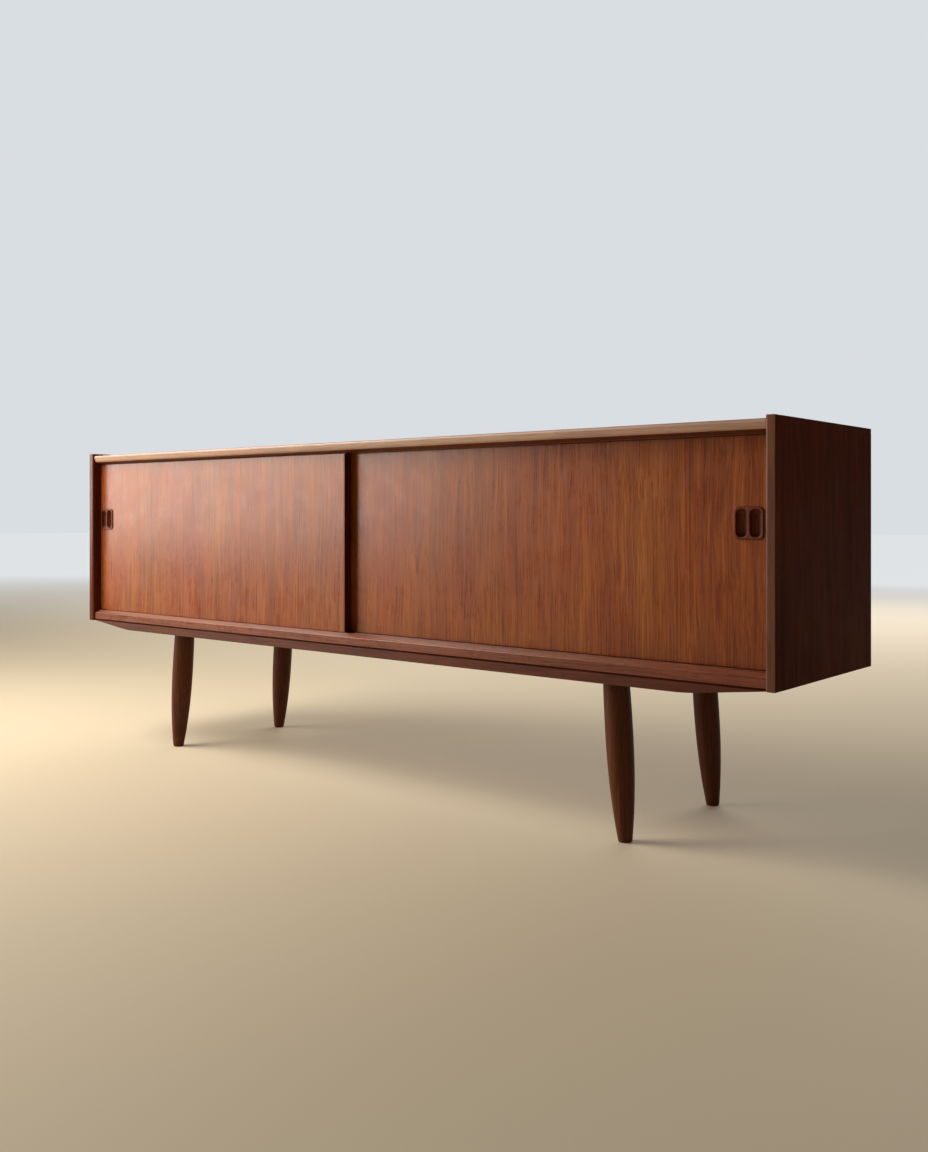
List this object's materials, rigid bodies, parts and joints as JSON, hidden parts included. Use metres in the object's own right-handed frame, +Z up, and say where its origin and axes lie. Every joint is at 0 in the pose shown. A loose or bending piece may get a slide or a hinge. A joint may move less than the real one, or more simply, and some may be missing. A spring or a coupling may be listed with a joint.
{
  "type": "sideboard",
  "caption": "Long low teak sideboard: box case with proud side panels, flat sliding doors with recessed finger pulls, adjustable shelves, tapered base rail and splayed turned legs.",
  "frame": {"origin": "on the floor, under the middle of the case", "axes": "+X to the right along the length, +Y from the front to the back, +Z up"},
  "size_m": [2, 0.43, 0.77],
  "materials": {
    "case_veneer": "satin oiled teak veneer",
    "door_veneer": "satin oiled teak veneer, grain upright",
    "solid_teak": "satin oiled solid teak",
    "back_plywood": "matt plywood",
    "steel": "zinc plated",
    "brass": "dull brass",
    "beech": "plain beech",
    "slip_fibre": "matt vulcanised fibre",
    "glide_nylon": "matt nylon"
  },
  "bodies": {
    "cabinet": {"left_side_panel": "case_veneer", "right_side_panel": "case_veneer", "left_side_lipping": "solid_teak", "right_side_lipping": "solid_teak", "left_top_lipping": "solid_teak", "right_top_lipping": "solid_teak", "top_board": "case_veneer", "top_front_rail": "solid_teak", "bottom_board": "case_veneer", "bottom_front_rail": "solid_teak", "front_slip_strip": "slip_fibre", "rear_slip_strip": "slip_fibre", "centre_divider": "case_veneer", "divider_lipping": "solid_teak", "left_back_panel": "back_plywood", "right_back_panel": "back_plywood", "back_screws": "steel", "left_shelf": "case_veneer", "right_shelf": "case_veneer", "left_shelf_lipping": "solid_teak", "right_shelf_lipping": "solid_teak", "left_shelf_pins": "brass", "right_shelf_pins": "brass", "left_case_dowels": "beech", "right_case_dowels": "beech", "divider_dowels": "beech", "front_frame_rail": "solid_teak", "rear_frame_rail": "solid_teak", "left_cross_rail": "solid_teak", "middle_cross_rail": "solid_teak", "right_cross_rail": "solid_teak", "frame_screws": "steel", "front_left_leg": "solid_teak", "front_right_leg": "solid_teak", "rear_left_leg": "solid_teak", "rear_right_leg": "solid_teak", "leg_bolts": "steel", "leg_inserts": "steel"},
    "left_door": {"left_door_panel": "door_veneer", "left_door_edges": "solid_teak", "left_pull": "solid_teak", "left_door_glides": "glide_nylon"},
    "right_door": {"right_door_panel": "door_veneer", "right_door_edges": "solid_teak", "right_pull": "solid_teak", "right_door_glides": "glide_nylon"}
  },
  "joints": [
    {"name": "left_door_slide", "type": "slide", "parent": "cabinet", "child": "left_door", "axis": [1, 0, 0], "range_m": [0, 1.005]},
    {"name": "right_door_slide", "type": "slide", "parent": "cabinet", "child": "right_door", "axis": [1, 0, 0], "range_m": [-0.936, 0]}
  ]
}
